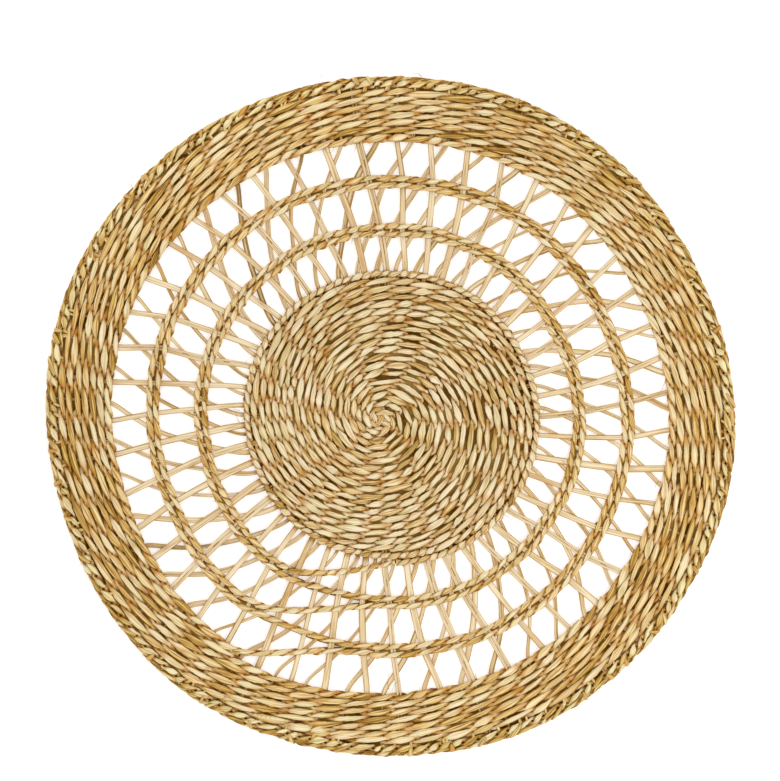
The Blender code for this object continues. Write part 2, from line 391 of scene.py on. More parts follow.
class ShaderGroup(NodeBoard):
    """A node group that several finishes share."""

    def __init__(self, name: str, given: tuple[str, ...], results: tuple[str, ...]) -> None:
        """Start the group with its number sockets.

        Args:
            name: The group's name.
            given: Names of its inputs.
            results: Names of its outputs.
        """
        super().__init__(bpy.data.node_groups.new(name, "ShaderNodeTree"))
        for way, sockets in (("INPUT", given), ("OUTPUT", results)):
            for socket in sockets:
                self.tree.interface.new_socket(socket, in_out=way, socket_type="NodeSocketFloat")
        self.given = self.tree.nodes.new("NodeGroupInput").outputs
        self.result = self.tree.nodes.new("NodeGroupOutput")

    @classmethod
    def fibres(cls) -> "ShaderGroup":
        """Lengthwise fibres, drawn out along the straw's own grain.

        Returns:
            A group with Fibres Across and Drawn Out in; Streak, Relief and Crack out.
        """
        inputs = ("Fibres Across", "Drawn Out")
        group = cls("straw_fibres", inputs, ("Streak", "Relief", "Crack"))
        grain = group.add("UVMap", {}, uv_map=GRAIN_LAYER).outputs["UV"]
        split = group.add("SeparateXYZ", {"Vector": grain}).outputs
        for output, count, detail, rough in (
            ("Streak", 0.45, 3.0, 0.6),
            ("Relief", 1.0, 2.0, 0.5),
            ("Crack", 0.32, 0.0, 0.5),
        ):
            along = group.maths("MULTIPLY", split["X"], group.given["Drawn Out"])
            many = group.maths("MULTIPLY", group.given["Fibres Across"], count)
            over = group.maths("MULTIPLY", split["Y"], many)
            spot = group.add("CombineXYZ", {"X": along, "Y": over}).outputs[0]
            look = {"Vector": spot, "Scale": 1.0, "Detail": detail, "Roughness": rough}
            value = group.add("TexNoise", look).outputs["Fac"]
            if output == "Crack":
                middle = group.maths("ABSOLUTE", group.maths("SUBTRACT", value, 0.5))
                value = group.ranged(middle, (0.0, 0.10), (1.0, 0.0))
            group.give(group.result, {output: value})
        return group

    @classmethod
    def sun_mottle(cls) -> "ShaderGroup":
        """Soft patches of sun bleaching and age over the whole mat.

        Returns:
            A group with Patches in and Mottle out.
        """
        group = cls("sun_mottle", ("Patches",), ("Mottle",))
        place = group.add("TexCoord", {}).outputs["Object"]
        look = {"Vector": place, "Scale": group.given["Patches"], "Detail": 4.0}
        group.give(group.result, {"Mottle": group.add("TexNoise", look).outputs["Fac"]})
        return group


@dataclass(frozen=True)
class StrawFinish:
    """The look of one kind of straw: its tones from dark to pale, and its gloss."""

    name: str
    tones: tuple[tuple[float, Colour], ...]
    amber: Colour = (0.62, 0.29, 0.040)
    # Tint multiplied in as painted half-shade, where the painted shade mask starts to rise.
    edge: Colour = (0.600, 0.380, 0.110)
    edge_shade_start: Range = (0.05, 0.75)
    edge_shade_most: float = 0.95
    olive: Colour = (0.935, 0.965, 0.860)
    olive_start: Range = (0.42, 0.60)
    shade: Colour = (0.110, 0.040, 0.001)
    shade_start: Range = (0.62, 1.15)
    shade_most: float = 0.90
    fibres_across: float = 9.0
    drawn_out: float = 0.42
    streak: float = 2.70
    patches: float = 140.0
    mottle: float = 0.45
    cracks: float = 0.72
    crack: Colour = (0.620, 0.480, 0.260)
    relief_ends: Range = (0.3, 0.7)
    roughness: Range = (0.38, 0.62)
    relief: float = 0.00016
    specular: float = 0.18

    def material(self, fibres: ShaderGroup, sun_mottle: ShaderGroup) -> bpy.types.Material:
        """Build the finish's node material.

        Args:
            fibres: The group that draws the fibres.
            sun_mottle: The group that draws the patches.

        Returns:
            The new material.
        """
        made = bpy.data.materials.new(self.name)
        made.use_nodes = True
        board = NodeBoard(made.node_tree)
        inputs = {"Fibres Across": self.fibres_across, "Drawn Out": self.drawn_out}
        fibre = board.add("Group", inputs, node_tree=fibres.tree).outputs
        patch = board.add("Group", {"Patches": self.patches}, node_tree=sun_mottle.tree).outputs[0]
        tone, amber, tuck = (
            board.add("Attribute", {}, attribute_name=trait.value).outputs["Fac"] for trait in Surface
        )
        tone = board.shifted(tone, fibre["Streak"], self.streak)
        ramp = board.add("ValToRGB", {"Fac": board.shifted(tone, patch, self.mottle)})
        stops = ramp.color_ramp.elements
        for number, (position, shown) in enumerate(self.tones):
            stop = stops[number] if number < len(stops) else stops.new(position)
            stop.position, stop.color = position, (*shown, 1.0)
        greenish = board.ranged(patch, self.olive_start)
        colour = board.mixed(greenish, ramp.outputs["Color"], self.olive, "MULTIPLY")
        cracked = board.maths("MULTIPLY", fibre["Crack"], self.cracks)
        colour = board.mixed(cracked, colour, self.crack, "MULTIPLY")
        colour = board.mixed(amber, colour, self.amber)
        # Painted shade: the half-shade tint multiplied in, then dark brown mixed in, as the painted shade
        # mask rises.
        for tint, ends, most, blend in (
            (self.edge, self.edge_shade_start, self.edge_shade_most, "MULTIPLY"),
            (self.shade, self.shade_start, self.shade_most, "MIX"),
        ):
            shade_depth = board.ranged(tuck, ends, (0.0, most), "SMOOTHSTEP")
            colour = board.mixed(shade_depth, colour, tint, blend)
        bump = board.add("Bump", {"Distance": self.relief, "Height": fibre["Relief"]})
        look = {
            "Base Color": colour,
            "Roughness": board.ranged(fibre["Relief"], self.relief_ends, self.roughness),
            "Normal": bump.outputs["Normal"],
            "Specular IOR Level": self.specular,
        }
        board.give(made.node_tree.nodes["Principled BSDF"], look)
        return made


WEFT_STRAW = StrawFinish(
    name="weft_straw",
    tones=(
        (0.00, (0.240, 0.125, 0.014)),
        (0.22, (0.440, 0.270, 0.055)),
        (0.45, (0.690, 0.440, 0.145)),
        (0.68, (0.910, 0.650, 0.310)),
        (1.00, (1.000, 0.860, 0.600)),
    ),
)
OUTER_STRAW = StrawFinish(
    name="outer_weft_straw",
    tones=(
        (0.00, (0.240, 0.112, 0.006)),
        (0.22, (0.440, 0.252, 0.030)),
        (0.45, (0.700, 0.424, 0.105)),
        (0.68, (0.930, 0.640, 0.265)),
        (1.00, (1.000, 0.850, 0.555)),
    ),
    # Tint of the painted half-shade.
    edge=(0.600, 0.365, 0.080),
    olive=(0.950, 0.965, 0.860),
)
WARP_STRAW = StrawFinish(
    name="warp_straw",
    tones=(
        (0.00, (0.260, 0.150, 0.040)),
        (0.25, (0.520, 0.340, 0.115)),
        (0.50, (0.790, 0.570, 0.270)),
        (1.00, (0.970, 0.810, 0.540)),
    ),
    olive=(1.0, 0.985, 0.960),
    fibres_across=7.0,
    drawn_out=0.35,
)
# Dark straw for the beds and the ring strips: painted shade where the weave lies deep.
SHADOWED_STRAW = StrawFinish(
    name="packed_straw",
    tones=(
        (0.00, (0.060, 0.022, 0.001)),
        (0.40, (0.110, 0.048, 0.003)),
        (0.70, (0.240, 0.120, 0.020)),
        (1.00, (0.420, 0.250, 0.070)),
    ),
    roughness=(0.80, 0.95),
    specular=0.05,
)
BORDER_STRAW = StrawFinish(
    name="border_straw",
    tones=(
        (0.00, (0.250, 0.120, 0.008)),
        (0.30, (0.520, 0.310, 0.050)),
        (0.60, (0.830, 0.570, 0.180)),
        (1.00, (1.000, 0.870, 0.540)),
    ),
    roughness=(0.33, 0.62),
)


@dataclass
class Route:
    """The line that a twined row follows, and how far its twist has turned."""

    angle: Array
    radius: Array
    phase: Array

    def resampled(self, steps: int) -> tuple[Array, Array, Array]:
        """Sample the route in even steps of its twist.

        Args:
            steps: Samples for each stitch.

        Returns:
            Twist phases, angles and radii.
        """
        first = math.ceil(self.phase[0] / pi * steps)
        last = math.floor(self.phase[-1] / pi * steps)
        phase = np.arange(first, last + 1) * pi / steps
        return phase, np.interp(phase, self.phase, self.angle), np.interp(phase, self.phase, self.radius)


@dataclass(frozen=True)
class WeftRoute:
    """The one weft that runs from the eye through the rings to the border."""

    plan: MatPlan
    disc_start: float = 0.0058
    disc_end: float = 0.0820
    disc_pitch: float = 0.00412
    eye_stitches: int = 6
    edge_turns: float = 1.05
    widest_reach: tuple[float, ...] = (0.006, 0.012, 0.020, 0.080, 0.150)
    widest_stitch: tuple[float, ...] = (0.009, 0.013, 0.017, 0.017, 0.030)
    widest_stray: Range = (0.88, 1.12)
    least_stitch: float = 0.4
    evening: float = 0.25
    wander: float = 0.09
    open_stitches: int = 94
    ring_pitch: float = 0.0040
    ring_waviness: float = 0.00022
    ring_ripples: Range = (11.3, 17.9)
    ring_lateness: tuple[float, ...] = (1.0, 2.0, 1.4, 4.0)
    band_lateness: float = 2.0
    band_first: float = 0.1556
    band_pitch: float = 0.00428
    band_rows: int = 7
    band_stitches: int = 72
    band_step_share: float = 0.14
    landing_overlap: float = radians(3.5)
    sample: float = radians(0.5)
    seed: int = 3

    def ring_phase(self, angle: Array, radius: Array) -> Array:
        """Twist phase, rising clockwise, that puts a stitch over each strip."""
        drifted = angle - self.plan.drift * np.interp(radius, self.plan.knots, (0, 1 / 3, 2 / 3, 1))
        return -pi * self.open_stitches * drifted / tau + pi / 2

    def stacked(self, first: Array, turns: Array, radius: Array) -> Array:
        """Twist along a spiral whose stitches stack in columns from row to row.

        Each crossing stands over the one a turn before it and drifts towards the
        middle of its neighbours. A column that has grown too wide is split in two.

        Args:
            first: Crossings of the first turn.
            turns: How many turns the spiral has made at each sample.
            radius: Radius at each sample.

        Returns:
            Twist phase at each sample.
        """
        rng = np.random.default_rng(self.seed)
        marks = list(first)
        follow = 0
        while marks[-1] < turns[-1]:
            own, after = marks[follow], marks[follow + 1]
            before = marks[follow - 1] if follow else 2 * own - after
            half = (after - before) / 2
            mark = 1.0 + own + self.evening * ((before + after) / 2 - own)
            mark += rng.normal(0, self.wander) * half
            mark = max(mark, marks[-1] + self.least_stitch * half)
            reach = float(np.interp(mark, turns, radius))
            widest = np.interp(reach, self.widest_reach, self.widest_stitch)
            if (mark - marks[-1]) * tau * reach > widest * rng.uniform(*self.widest_stray):
                marks.append((marks[-1] + mark) / 2)
            marks.append(mark)
            follow += 1
        return pi * np.interp(turns, marks, np.arange(len(marks)))

    def disc(self) -> Route:
        """Route of the close rows of the centre disc, from the eye to its edge.

        Returns:
            The route, which joins the open rows at its end.
        """
        whole = (self.disc_end - self.disc_start) / self.disc_pitch
        turns = np.linspace(0.0, whole, math.ceil(whole * tau / self.sample))
        angle = self.plan.climb_start + tau * (whole - turns)
        radius = self.disc_start + self.disc_pitch * turns
        close = self.stacked(np.arange(self.eye_stitches) / self.eye_stitches, turns, radius)
        edge = self.ring_phase(angle, radius)
        join = int(np.searchsorted(turns, whole - self.edge_turns))
        phase = np.concatenate([close[:join] + edge[join] - close[join], edge[join:]])
        return Route(angle, radius, phase)

    def rings(self) -> Route:
        """Route of both double rings and the climbs between them, up to the band.

        Returns:
            The route, whose climbs start late where the photographed ones do.
        """
        plan = self.plan
        sector = plan.climb_start - plan.climb_end
        half = self.ring_pitch / 2
        rows = (ring + side for ring in plan.ring_middles for side in (-half, half))
        legs = []
        for row, lateness in zip(rows, self.ring_lateness):
            legs += [(sector, row, lateness), (tau - sector, row, 1.0)]
        landing = plan.climb_start - plan.band_landing + self.landing_overlap
        legs.append((landing, self.band_first, self.band_lateness))
        radius = self.disc_end
        angles, radii = [np.array([plan.climb_start])], [np.array([radius])]
        for sweep, target, lateness in legs:
            share = np.linspace(0, 1, max(2, round(sweep / self.sample)))[1:]
            angles.append(angles[-1][-1] - sweep * share)
            radii.append(radius + (target - radius) * eased(share**lateness))
            radius = target
        line, reach = np.concatenate(angles), np.concatenate(radii)
        phase = self.ring_phase(line, reach)
        slow, quick = self.ring_ripples
        reach = reach + self.ring_waviness * (np.sin(slow * line) + np.sin(quick * line + 2.0))
        return Route(line, reach, phase)

    def band(self, start_angle: float, start_phase: float) -> Route:
        """Route of the close rows of the outer band, up to the border.

        Args:
            start_angle: Where the last climb lands, as the rings' route counts it.
            start_phase: The twist that the last climb arrives with.

        Returns:
            The route.
        """
        turns = np.arange(0.0, self.band_rows, self.sample / tau)
        row = np.floor(turns)
        step = eased((turns - row - 1.0 + self.band_step_share) / self.band_step_share)
        radius = self.band_first + self.band_pitch * np.minimum(row + step, self.band_rows - 1)
        close = self.stacked(1.0 + np.arange(self.band_stitches) / self.band_stitches, turns, radius)
        edge = start_phase + pi * self.open_stitches * turns
        join = int(np.searchsorted(turns, 1.0))
        phase = np.concatenate([edge[:join], close[join:] + edge[join] - close[join]])
        return Route(start_angle - tau * turns, radius, phase)


@dataclass(frozen=True)
class StitchSizes:
    """Sizes of one twined row's stitches."""

    half_width: float
    lean: float
    rise: float
    half_thickness: float = 0.00060
    height: float = 0.0022
    waist: float = 0.60
    taper: float = 1.05
    tilt: float = 0.40
    cup: float = 0.00065
    steps: int = 8
    width_spread: float = 0.24
    rise_spread: float = 0.10
    length_spread: float = 0.18
    full_length: float = 0.0085
    least_lean: float = 0.55
    straightness: float = 0.8
    side_stray: float = 0.00026
    edge_stray: float = 0.06
    skews: Range = (0.62, 1.55)
    creases: Range = (-0.42, 0.22)
    # Strength and reach of the painted wedge shadow between consecutive stitches.
    shadow_strengths: Range = (0.2, 1.35)
    shadow_reach: float = 0.70
    second_width: float = 1.0
    first_lift: float = 0.0


@dataclass(frozen=True)
class StitchTones:
    """How light the two strands of a row are, and how often they change."""

    first: float
    second: float
    splice_spread: float = 0.18
    splice_stitches: tuple[int, int] = (3, 11)
    stitch_spread: float = 0.12
    darkest: float = 0.34
    amber_share: float = 0.40
    amber_strength: Range = (0.5, 1.0)
    amber_reach: float = 0.36
    amber_fade: float = 0.7


@dataclass
class TwinedRows(StrawWork):
    """Rows of two flat strands that twist around each other."""

    sizes: StitchSizes
    tones: StitchTones

    def build(self, route: Route) -> None:
        """Lay both strands of the rows.

        Args:
            route: The rows' line.
        """
        sizes = self.sizes
        phase, angle, radius = route.resampled(sizes.steps)
        crossings = np.arange(math.floor(phase[0] / pi) - 1, math.ceil(phase[-1] / pi) + 3)
        spread = sizes.length_spread
        stray = self.rng.uniform(-spread, spread, len(crossings)) * pi
        warped = phase + np.interp(phase / pi, crossings, stray)
        flat = self.plan.place(np.interp(warped, phase, angle), np.interp(warped, phase, radius))
        flat = self.straightened(phase, flat)
        centre = raised(flat, sizes.height)
        stitch_length = np.linalg.norm(np.gradient(flat, axis=0), axis=1) * sizes.steps
        lean = sizes.lean * np.clip(stitch_length / sizes.full_length, sizes.least_lean, 1.0)
        first = centre + UP * sizes.first_lift
        self.lay_strand(phase, first, lean, self.tones.first, 1.0)
        self.lay_strand(phase + pi, centre, lean, self.tones.second, sizes.second_width)

    def straightened(self, phase: Array, flat: Array) -> Array:
        """Pull a row's line towards straight runs between its crossings.

        Args:
            phase: Twist phase at each sample.
            flat: The row's line, as (x, y) rows.

        Returns:
            The straighter line.
        """
        crossing = np.round(phase / pi * self.sizes.steps).astype(int) % self.sizes.steps == 0
        crossing[0] = crossing[-1] = True
        runs = [np.interp(phase, phase[crossing], flat[crossing, axis]) for axis in range(2)]
        return flat + (np.stack(runs, axis=1) - flat) * self.sizes.straightness

    def lay_strand(self, turn: Array, centre: Array, lean: Array, tone: float, fullness: float) -> None:
        """Lay one strand around a row's centreline.

        Args:
            turn: How far the strand has turned at each sample.
            centre: The row's centreline.
            lean: How far the strand goes to either side of the row.
            tone: The strand's usual lightness.
            fullness: How wide it is beside the row's usual width.
        """
        sizes, rng = self.sizes, self.rng
        stitch = np.floor(turn / pi + 1e-6).astype(int)
        stitch -= stitch[0]
        count = int(stitch[-1]) + 1
        swell = np.abs(np.sin(turn))
        width = 1.0 + rng.uniform(-1, 1, count) * sizes.width_spread
        rise = 1.0 + rng.uniform(-1, 1, count) * sizes.rise_spread
        sideways = rng.normal(0, sizes.side_stray, count)[stitch] * swell
        offset = sideways - lean * np.arcsin(np.cos(turn)) / (pi / 2)
        outward = -faced(centre, UP)[0]
        line = centre + outward * offset[:, None]
        line = line + UP * (sizes.rise * rise[stitch] * np.sin(turn))[:, None]
        tilt = (-sizes.tilt * np.cos(turn))[:, None]
        belly = np.mod(turn, pi) / pi
        belly = np.abs(np.sin(pi * belly ** rng.uniform(*sizes.skews, count)[stitch]))
        width = sizes.waist + (width[stitch] - sizes.waist) * belly**sizes.taper
        width = width * (1.0 + rng.normal(0, sizes.edge_stray, len(turn)))
        tones = self.stitch_tones(count, tone)
        creases = 1.0 + rng.uniform(*sizes.creases, (count + 1, StrawMesh.SIDES))
        shadow_strengths = rng.uniform(*sizes.shadow_strengths, count)[stitch]
        self.lay(
            centre=line,
            across=outward * np.cos(tilt) - UP * np.sin(tilt),
            normal=outward * np.sin(tilt) + UP * np.cos(tilt),
            half_width=sizes.half_width * width * fullness,
            half_thickness=sizes.half_thickness,
            cup=sizes.cup * np.sin(turn),
            tone=tones[stitch],
            amber=self.amber_tips(stitch, turn),
            crease=creases[stitch],
            # Painted shade: faces turned inwards go dark as the strand dips under, and a wedge of painted
            # shadow lies between stitches.
            inward=np.sin(turn),
            wedge=shadow_strengths * np.clip(1.0 - swell / sizes.shadow_reach, 0.0, 1.0) * np.cos(turn),
            grain_start=float(rng.uniform(*GRAIN_STARTS)),
        )

    def stitch_tones(self, count: int, usual: float) -> Array:
        """Lightness of each stitch: one level for each straw, with a little stray.

        Args:
            count: Number of stitches.
            usual: The strand's usual lightness.

        Returns:
            One value for each stitch.
        """
        rng, tones = self.rng, self.tones
        levels = []
        while len(levels) < count:
            length = int(rng.integers(*tones.splice_stitches))
            levels += [usual + rng.normal(0, tones.splice_spread)] * length
        return np.maximum(levels[:count] + rng.normal(0, tones.stitch_spread, count), tones.darkest)

    def amber_tips(self, stitch: Array, turn: Array) -> Array:
        """Amber stain at one end of some stitches.

        Args:
            stitch: Stitch number at each sample.
            turn: How far the strand has turned at each sample.

        Returns:
            Stain strength at each sample.
        """
        rng, tones, count = self.rng, self.tones, stitch[-1] + 1
        stained = (rng.random(count) < tones.amber_share) * rng.uniform(*tones.amber_strength, count)
        at_start = rng.random(count) < 0.5
        share = np.mod(turn, pi) / pi
        from_end = np.where(at_start[stitch], share, 1.0 - share)
        fading = np.clip(1.0 - from_end / tones.amber_reach, 0.0, 1.0) ** tones.amber_fade
        return stained[stitch] * fading


@dataclass
class RingShadeStrip(StrawWork):
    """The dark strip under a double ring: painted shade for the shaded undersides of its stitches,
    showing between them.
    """

    seed: int = 42
    half_width: float = 0.00160
    lone_share: float = 0.62
    half_thickness: float = 0.00018
    drop: float = 0.0002
    pair_shift: float = 0.0005
    bits_per_stitch: float = 1.5
    bit_widths: Range = (1.02, 1.14)
    bit_tones: Range = (0.5, 1.25)

    def build(self, route: Route) -> None:
        """Lay the dark strip, which leans towards its ring's other row.

        Args:
            route: The rings' line.
        """
        middles = self.plan.ring_middles
        nearest = middles[np.abs(route.radius[:, None] - middles).argmin(axis=1)]
        apart = nearest - route.radius
        paired = np.clip(2.0 - np.abs(apart) / self.plan.row_pitch, 0.0, 1.0)
        radius = route.radius + np.clip(apart, -self.pair_shift, self.pair_shift) * paired
        centre = raised(self.plan.place(route.angle, radius), self.plan.middle_height - self.drop)
        bits = route.phase / pi * self.bits_per_stitch
        spots = np.arange(math.floor(bits[0]), math.ceil(bits[-1]) + 1)
        widths = self.rng.uniform(*self.bit_widths, len(spots))
        tones = self.rng.uniform(*self.bit_tones, len(spots))
        share = self.lone_share + (1.0 - self.lone_share) * paired
        self.lay(
            centre=centre,
            across=-faced(centre, UP)[0],
            normal=UP,
            half_width=self.half_width * share * np.interp(bits, spots, widths),
            half_thickness=self.half_thickness,
            tone=np.interp(bits, spots, tones),
            packed=True,
        )


@dataclass(frozen=True)
class ShortStraw:
    """One short straw of the start knot, placed from the eye."""

    x: float
    y: float
    heading_degrees: float
    length: float
    width: float
    height: float
    tone: float
    amber: float = 0.0


@dataclass
class StartKnot(StrawWork):
    """The short straws that cross each other at the eye, where the weft starts."""

    seed: int = 0
    straws: tuple[ShortStraw, ...] = (
        ShortStraw(-0.0030, -0.0006, 40.0, 0.0120, 0.0048, 0.0022, 0.40, 0.3),
        ShortStraw(0.0026, -0.0012, -40.0, 0.0120, 0.0048, 0.0021, 0.45, 0.2),
        ShortStraw(0.0004, 0.0028, 84.0, 0.0110, 0.0050, 0.0022, 0.48, 0.4),
        ShortStraw(0.0005, 0.0003, 64.0, 0.0110, 0.0030, 0.0025, 0.60, 0.3),
        ShortStraw(0.0003, 0.0040, 14.0, 0.0070, 0.0025, 0.0029, 0.70, 0.6),
        ShortStraw(-0.0046, 0.0030, 66.0, 0.0074, 0.0028, 0.0027, 0.78, 0.8),
        ShortStraw(-0.0012, 0.0061, 16.0, 0.0084, 0.0030, 0.0024, 0.60, 0.3),
        ShortStraw(0.0046, -0.0030, 72.0, 0.0070, 0.0026, 0.0027, 0.66, 0.3),
        ShortStraw(-0.0006, -0.0044, 4.0, 0.0068, 0.0024, 0.0030, 0.90, 0.3),
        ShortStraw(-0.0040, -0.0019, -34.0, 0.0070, 0.0025, 0.0031, 0.74, 0.5),
        ShortStraw(0.0029, -0.0019, -18.0, 0.0068, 0.0027, 0.0032, 0.80),
        ShortStraw(-0.0030, 0.0018, -68.0, 0.0062, 0.0028, 0.0033, 0.84),
        ShortStraw(0.0038, 0.0017, -50.0, 0.0078, 0.0026, 0.0034, 0.95),
    )
    arch: float = 0.0013
    half_thickness: float = 0.0005
    cup: float = 0.0004
    end_taper: float = 0.75
    taper_power: float = 1.6
    end_tuck: float = 0.45
    samples: int = 9

    def build(self) -> None:
        """Lay the knot's straws."""
        middle = self.plan.place(0.0, 0.0)
        share = np.linspace(-1.0, 1.0, self.samples)
        for straw in self.straws:
            heading = radians(straw.heading_degrees)
            along = np.array([math.cos(heading), math.sin(heading), 0.0])
            start = np.array([middle[0] + straw.x, middle[1] + straw.y, straw.height])
            centre = start + along * (share * straw.length / 2)[:, None]
            centre[:, 2] -= self.arch * share**2
            across, normal = faced(centre, UP)
            self.lay(
                centre=centre,
                across=-across,
                normal=normal,
                half_width=straw.width / 2 * (1.0 - self.end_taper * np.abs(share) ** self.taper_power),
                half_thickness=self.half_thickness,
                cup=self.cup,
                tone=straw.tone,
                amber=straw.amber * np.clip(share, 0.0, 1.0),
                # Painted shade at both ends, where the straws dip under.
                tuck=self.end_tuck * np.abs(share) ** 4,
                grain_start=straw.x * 1000.0,
            )


@dataclass(frozen=True)
class StripCut:
    """How one layer's strips are cut and how they lie."""

    width: float
    widths: Range
    end_share: float
    lift: float
    roll: float
    tone: float
    tone_stray: float


class Layer(Enum):
    """Which layer of the lattice a strip lies in."""

    UPPER = StripCut(0.0031, (0.92, 1.24), 0.90, 0.00055, 0.22, tone=0.90, tone_stray=0.10)
    LOWER = StripCut(0.0022, (0.80, 1.45), 0.70, -0.00055, 0.60, tone=0.62, tone_stray=0.15)


@dataclass
class WarpSheet(StrawWork):
    """The layer of straw strips that runs through the whole mat.

    Its strips lie close together inside the disc and the band, where they are laid as a
    bed darkened with painted shade that shows between the stitches, and cross each
    other in the open lattice.
    """

    seed: int = 5
    bed_eye: float = 0.00002
    bed_disc: float = 0.0822
    bed_inner: float = 0.1550
    bed_outer: float = 0.1880
    bed_thickness: float = 0.0003
    bed_drop: float = 0.00045
    bed_tone: float = 0.76
    bed_samples: int = 241
    row_step: float = 0.00420
    step_share: float = 0.14
    half_thickness: float = 0.00030
    cup: float = 0.00012
    row_sink: float = 0.0004
    sink_runs: Range = (0.003, 0.004)
    end_run: Range = (0.001, 0.005)
    disc_shadow: float = 0.6
    disc_shadow_run: Range = (-0.0012, 0.0016)
    band_shadow: float = 0.38
    band_shadow_run: Range = (0.001, 0.003)
    amber_stain: Range = (-0.25, 0.35)
    most_amber: float = 0.7
    strip_start: float = 0.0700
    strip_end: float = 0.1850
    width_changes: Range = (0.88, 1.10)
    tone_changes: float = 0.06
    part_tone_stray: float = 0.05
    creases: Range = (-0.5, 0.3)
    split_share: float = 0.34
    split_place: Range = (0.42, 0.62)
    widest_parting: float = 0.00032
    samples: int = 44
    changes: int = 7

    def strip_angles(self) -> dict[Layer, list[list[float]]]:
        """Where the upper and lower strips pass each bound, as in the solids.

        Returns:
            Each layer's angles, a row for each bound.
        """
        plan = self.plan
        stray = random.Random(plan.lattice_seed)
        reach = plan.unevenness * plan.pair_angle
        angles = {layer: [] for layer in Layer}
        for bound in range(len(plan.knots)):
            start = plan.drift * bound / 3
            row = [
                pair * plan.pair_angle + start + stray.uniform(-1, 1) * reach
                for pair in range(plan.strip_pairs)
            ]
            following = row[1:] + [row[0] + tau]
            middles = [(here + after) / 2 for here, after in zip(row, following)]
            angles[Layer.UPPER].append(row)
            angles[Layer.LOWER].append([middle + stray.uniform(-1, 1) * reach for middle in middles])
        return angles

    def lay_strip(self, angles: list[float], layer: Layer) -> None:
        """Lay one strip of the lattice.

        Args:
            angles: The strip's angle at the disc, at both rings and at the band.
            layer: Whether it crosses above or below.
        """
        cut, knots, rng = layer.value, self.plan.knots, self.rng
        disc, band = knots[0], knots[3]
        radius = np.linspace(self.strip_start, self.strip_end, self.samples)
        kernel = np.array([1, 2, 3, 2, 1]) / 9
        angle = np.pad(np.interp(radius, knots, angles), 2, mode="edge")
        flat = self.plan.place(np.convolve(angle, kernel, mode="valid"), radius)
        open_share = np.interp(radius, knots, (0.0, 1.0, 2.0, 3.0))
        in_open = np.sin(pi * np.mod(open_share, 1.0)) ** 2
        inside, outside = self.sink_runs
        in_rows = np.interp(radius, (disc - inside, disc, band, band + outside), (1, 0, 0, 1))
        height = self.plan.middle_height + cut.lift * in_open - self.row_sink * in_rows
        centre = raised(flat, height)
        sideways, upright = faced(centre, UP)
        places = np.linspace(self.strip_start, self.strip_end, self.changes)
        roll = np.interp(radius, places, rng.uniform(-cut.roll, cut.roll, self.changes))[:, None]
        half = cut.width * rng.uniform(*cut.widths) / 2
        half = half * np.interp(radius, places, rng.uniform(*self.width_changes, self.changes))
        half *= np.interp(radius, [band + run for run in self.end_run], (1.0, cut.end_share))
        tone = cut.tone + rng.normal(0, cut.tone_stray)
        tone = tone + np.interp(radius, places, rng.normal(0, self.tone_changes, self.changes))
        tint = np.clip(rng.normal(*self.amber_stain, self.changes), 0, self.most_amber)
        # Painted shadow on the strips where they run under the rows of the disc and the band.
        start, run = self.disc_shadow_run
        painted_shadow = self.disc_shadow * (1.0 - eased((radius - disc - start) / run))
        start, run = self.band_shadow_run
        painted_shadow = painted_shadow + self.band_shadow * eased((radius - band - start) / run)
        across = sideways * np.cos(roll) + upright * np.sin(roll)
        share = rng.uniform(*self.split_place)
        parting = np.interp(radius, places, rng.uniform(0.0, self.widest_parting, self.changes))
        parts = ((1.0, 0.0, 0.0),)
        if rng.random() < self.split_share:
            parts = ((share, share - 1.0, -0.5), (1.0 - share, share, 0.5))
        for part, shift, side in parts:
            self.lay(
                centre=centre + across * (shift * half + side * parting)[:, None],
                across=across,
                normal=upright * np.cos(roll) - sideways * np.sin(roll),
                half_width=part * half,
                half_thickness=self.half_thickness,
                cup=self.cup,
                tone=tone + rng.normal(0, self.part_tone_stray),
                amber=np.interp(radius, places, tint),
                tuck=painted_shadow,
                crease=1.0 + rng.uniform(*self.creases, StrawMesh.SIDES),
                grain_start=float(rng.uniform(*GRAIN_STARTS)),
            )

    def lay_bed(self, turn: Array, inner: Along, outer: Along) -> None:
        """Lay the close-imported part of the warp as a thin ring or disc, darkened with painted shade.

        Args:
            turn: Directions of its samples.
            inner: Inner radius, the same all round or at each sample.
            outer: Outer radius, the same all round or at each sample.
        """
        inside, outside = self.plan.place(turn, inner), self.plan.place(turn, outer)
        width = np.linalg.norm(outside - inside, axis=1)
        self.lay(
            centre=raised((inside + outside) / 2, self.plan.middle_height - self.bed_drop),
            across=raised((outside - inside) / width[:, None], 0.0),
            normal=UP,
            half_width=width / 2,
            half_thickness=self.bed_thickness / 2,
            tone=self.bed_tone,
            packed=True,
        )

    def build(self) -> None:
        """Lay both beds and every strip."""
        plan = self.plan
        share = np.linspace(0, 1, self.bed_samples)
        turn = tau * share
        disc_edge = self.bed_disc - self.row_step * share
        self.lay_bed(plan.climb_start + turn, self.bed_eye, disc_edge)
        band_edge = self.bed_inner + self.row_step * eased(1.0 - share / self.step_share)
        self.lay_bed(plan.band_landing + turn, band_edge, self.bed_outer)
        angles = self.strip_angles()
        for pair in range(plan.strip_pairs):
            for layer, lag in ((Layer.UPPER, 0), (Layer.LOWER, 1)):
                passed = []
                for bound, row in enumerate(angles[layer]):
                    turns, cell = divmod(pair - lag * bound, plan.strip_pairs)
                    passed.append(row[cell] + tau * turns)
                self.lay_strip(passed, layer)

    def area(self) -> float:
        """Flat area of the sheet: its two beds and the strips between them.

        Returns:
            The area in square metres.
        """
        beds = pi * (self.bed_disc**2 + self.bed_outer**2 - self.bed_inner**2)
        widths = self.plan.strip_pairs * sum(layer.value.width for layer in Layer)
        return beds + widths * (self.strip_end - self.strip_start)


@dataclass(frozen=True)
class Fold:
    """How one kind of strip end is folded round the rim."""

    centre_radius: float
    reach: float
    rise: float
    start_degrees: float
    end_degrees: float
    width: float
    amber: float
    lean: float


